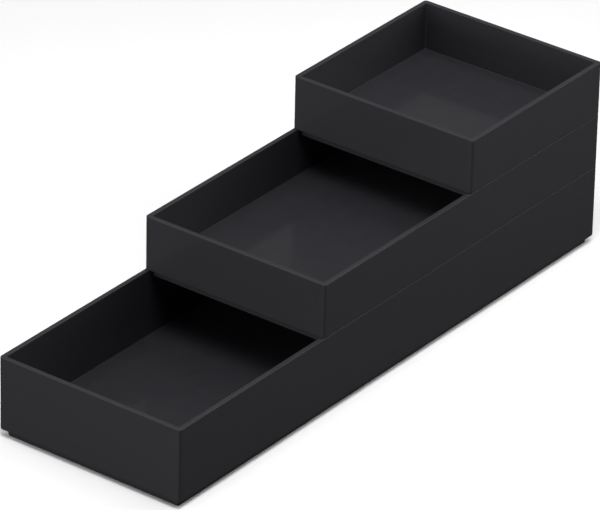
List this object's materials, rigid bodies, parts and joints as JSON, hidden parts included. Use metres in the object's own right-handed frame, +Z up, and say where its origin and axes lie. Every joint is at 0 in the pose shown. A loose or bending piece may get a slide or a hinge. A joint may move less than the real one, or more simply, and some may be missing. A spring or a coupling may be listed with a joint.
{
  "type": "stacking desk organiser",
  "caption": "Stair-stepped stack of open rectangular desk trays of one width in long, middle and short lengths, each with a recessed plinth that nests in the rim below.",
  "frame": {"origin": "on the table under the middle of the stack, at the feet of the bottom tray's pads", "axes": "+Y from the low open front to the tall flush back, +X to the right seen from the front, +Z up"},
  "size_m": [0.097, 0.3, 0.0905],
  "materials": {
    "tray_plastic": "fine satin moulded plastic, charcoal black",
    "pad_rubber": "matte"
  },
  "bodies": {
    "bottom": {"bottom_tray": "tray_plastic", "bottom_pad_front_left": "pad_rubber", "bottom_pad_front_right": "pad_rubber", "bottom_pad_back_left": "pad_rubber", "bottom_pad_back_right": "pad_rubber"},
    "middle": {"middle_tray": "tray_plastic", "middle_pad_front_left": "pad_rubber", "middle_pad_front_right": "pad_rubber", "middle_pad_back_left": "pad_rubber", "middle_pad_back_right": "pad_rubber"},
    "top": {"top_tray": "tray_plastic", "top_pad_front_left": "pad_rubber", "top_pad_front_right": "pad_rubber", "top_pad_back_left": "pad_rubber", "top_pad_back_right": "pad_rubber"}
  },
  "joints": [
    {"name": "middle_slide", "type": "slide", "parent": "bottom", "child": "middle", "axis": [0, -1, 0], "range_m": [0, 0.098]},
    {"name": "top_lift", "type": "slide", "parent": "middle", "child": "top", "axis": [0, 0, 1], "range_m": [0, 0.06]}
  ]
}
